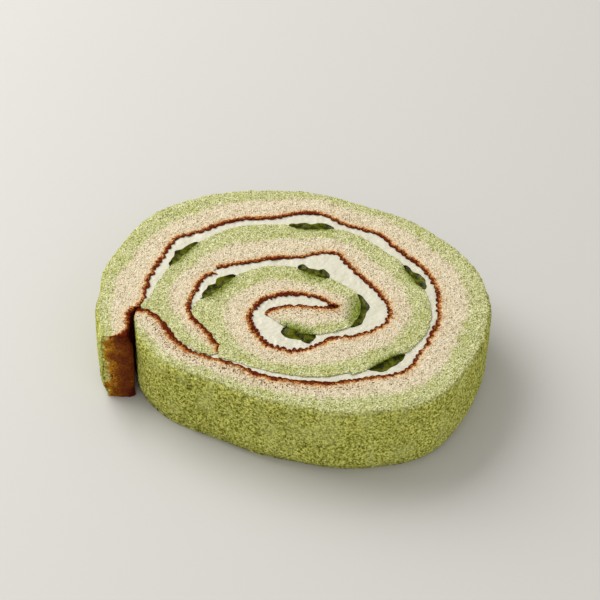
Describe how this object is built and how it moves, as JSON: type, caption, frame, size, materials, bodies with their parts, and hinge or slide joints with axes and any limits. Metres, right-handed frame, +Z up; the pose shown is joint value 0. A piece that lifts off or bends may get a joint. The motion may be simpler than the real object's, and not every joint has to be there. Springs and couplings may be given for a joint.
{
  "type": "grape roll cake slice",
  "caption": "Slice of a rolled sponge cake with cream and pieces of grape jelly, lying flat on its cut face, to be served as a dessert.",
  "frame": {"origin": "on the surface it lies on, below the middle of its outline", "axes": "+Z up across the thickness of the slice, out of the upper cut face; +X along its longest extent, away from the side where the outer sheet laps over its own start; +Y to the roll's peak, away from its flatter side"},
  "size_m": [0.1058, 0.0898, 0.022],
  "materials": {
    "green_sponge": "fine open crumb, matt",
    "white_sponge": "fine open crumb, matt",
    "whipped_cream": "smooth, slightly moist",
    "grape_jelly": "wet and glossy"
  },
  "bodies": {
    "root": {"outer_sheet_green": "green_sponge", "outer_sheet_white": "white_sponge", "inner_sheet_green": "green_sponge", "inner_sheet_white": "white_sponge", "outer_cream": "whipped_cream", "inner_cream": "whipped_cream", "jelly_heart": "grape_jelly", "jelly_inner_left": "grape_jelly", "jelly_inner_right": "grape_jelly", "jelly_inner_top": "grape_jelly", "jelly_lower_right": "grape_jelly", "jelly_right": "grape_jelly", "jelly_top": "grape_jelly", "jelly_upper_left": "grape_jelly"}
  },
  "joints": []
}
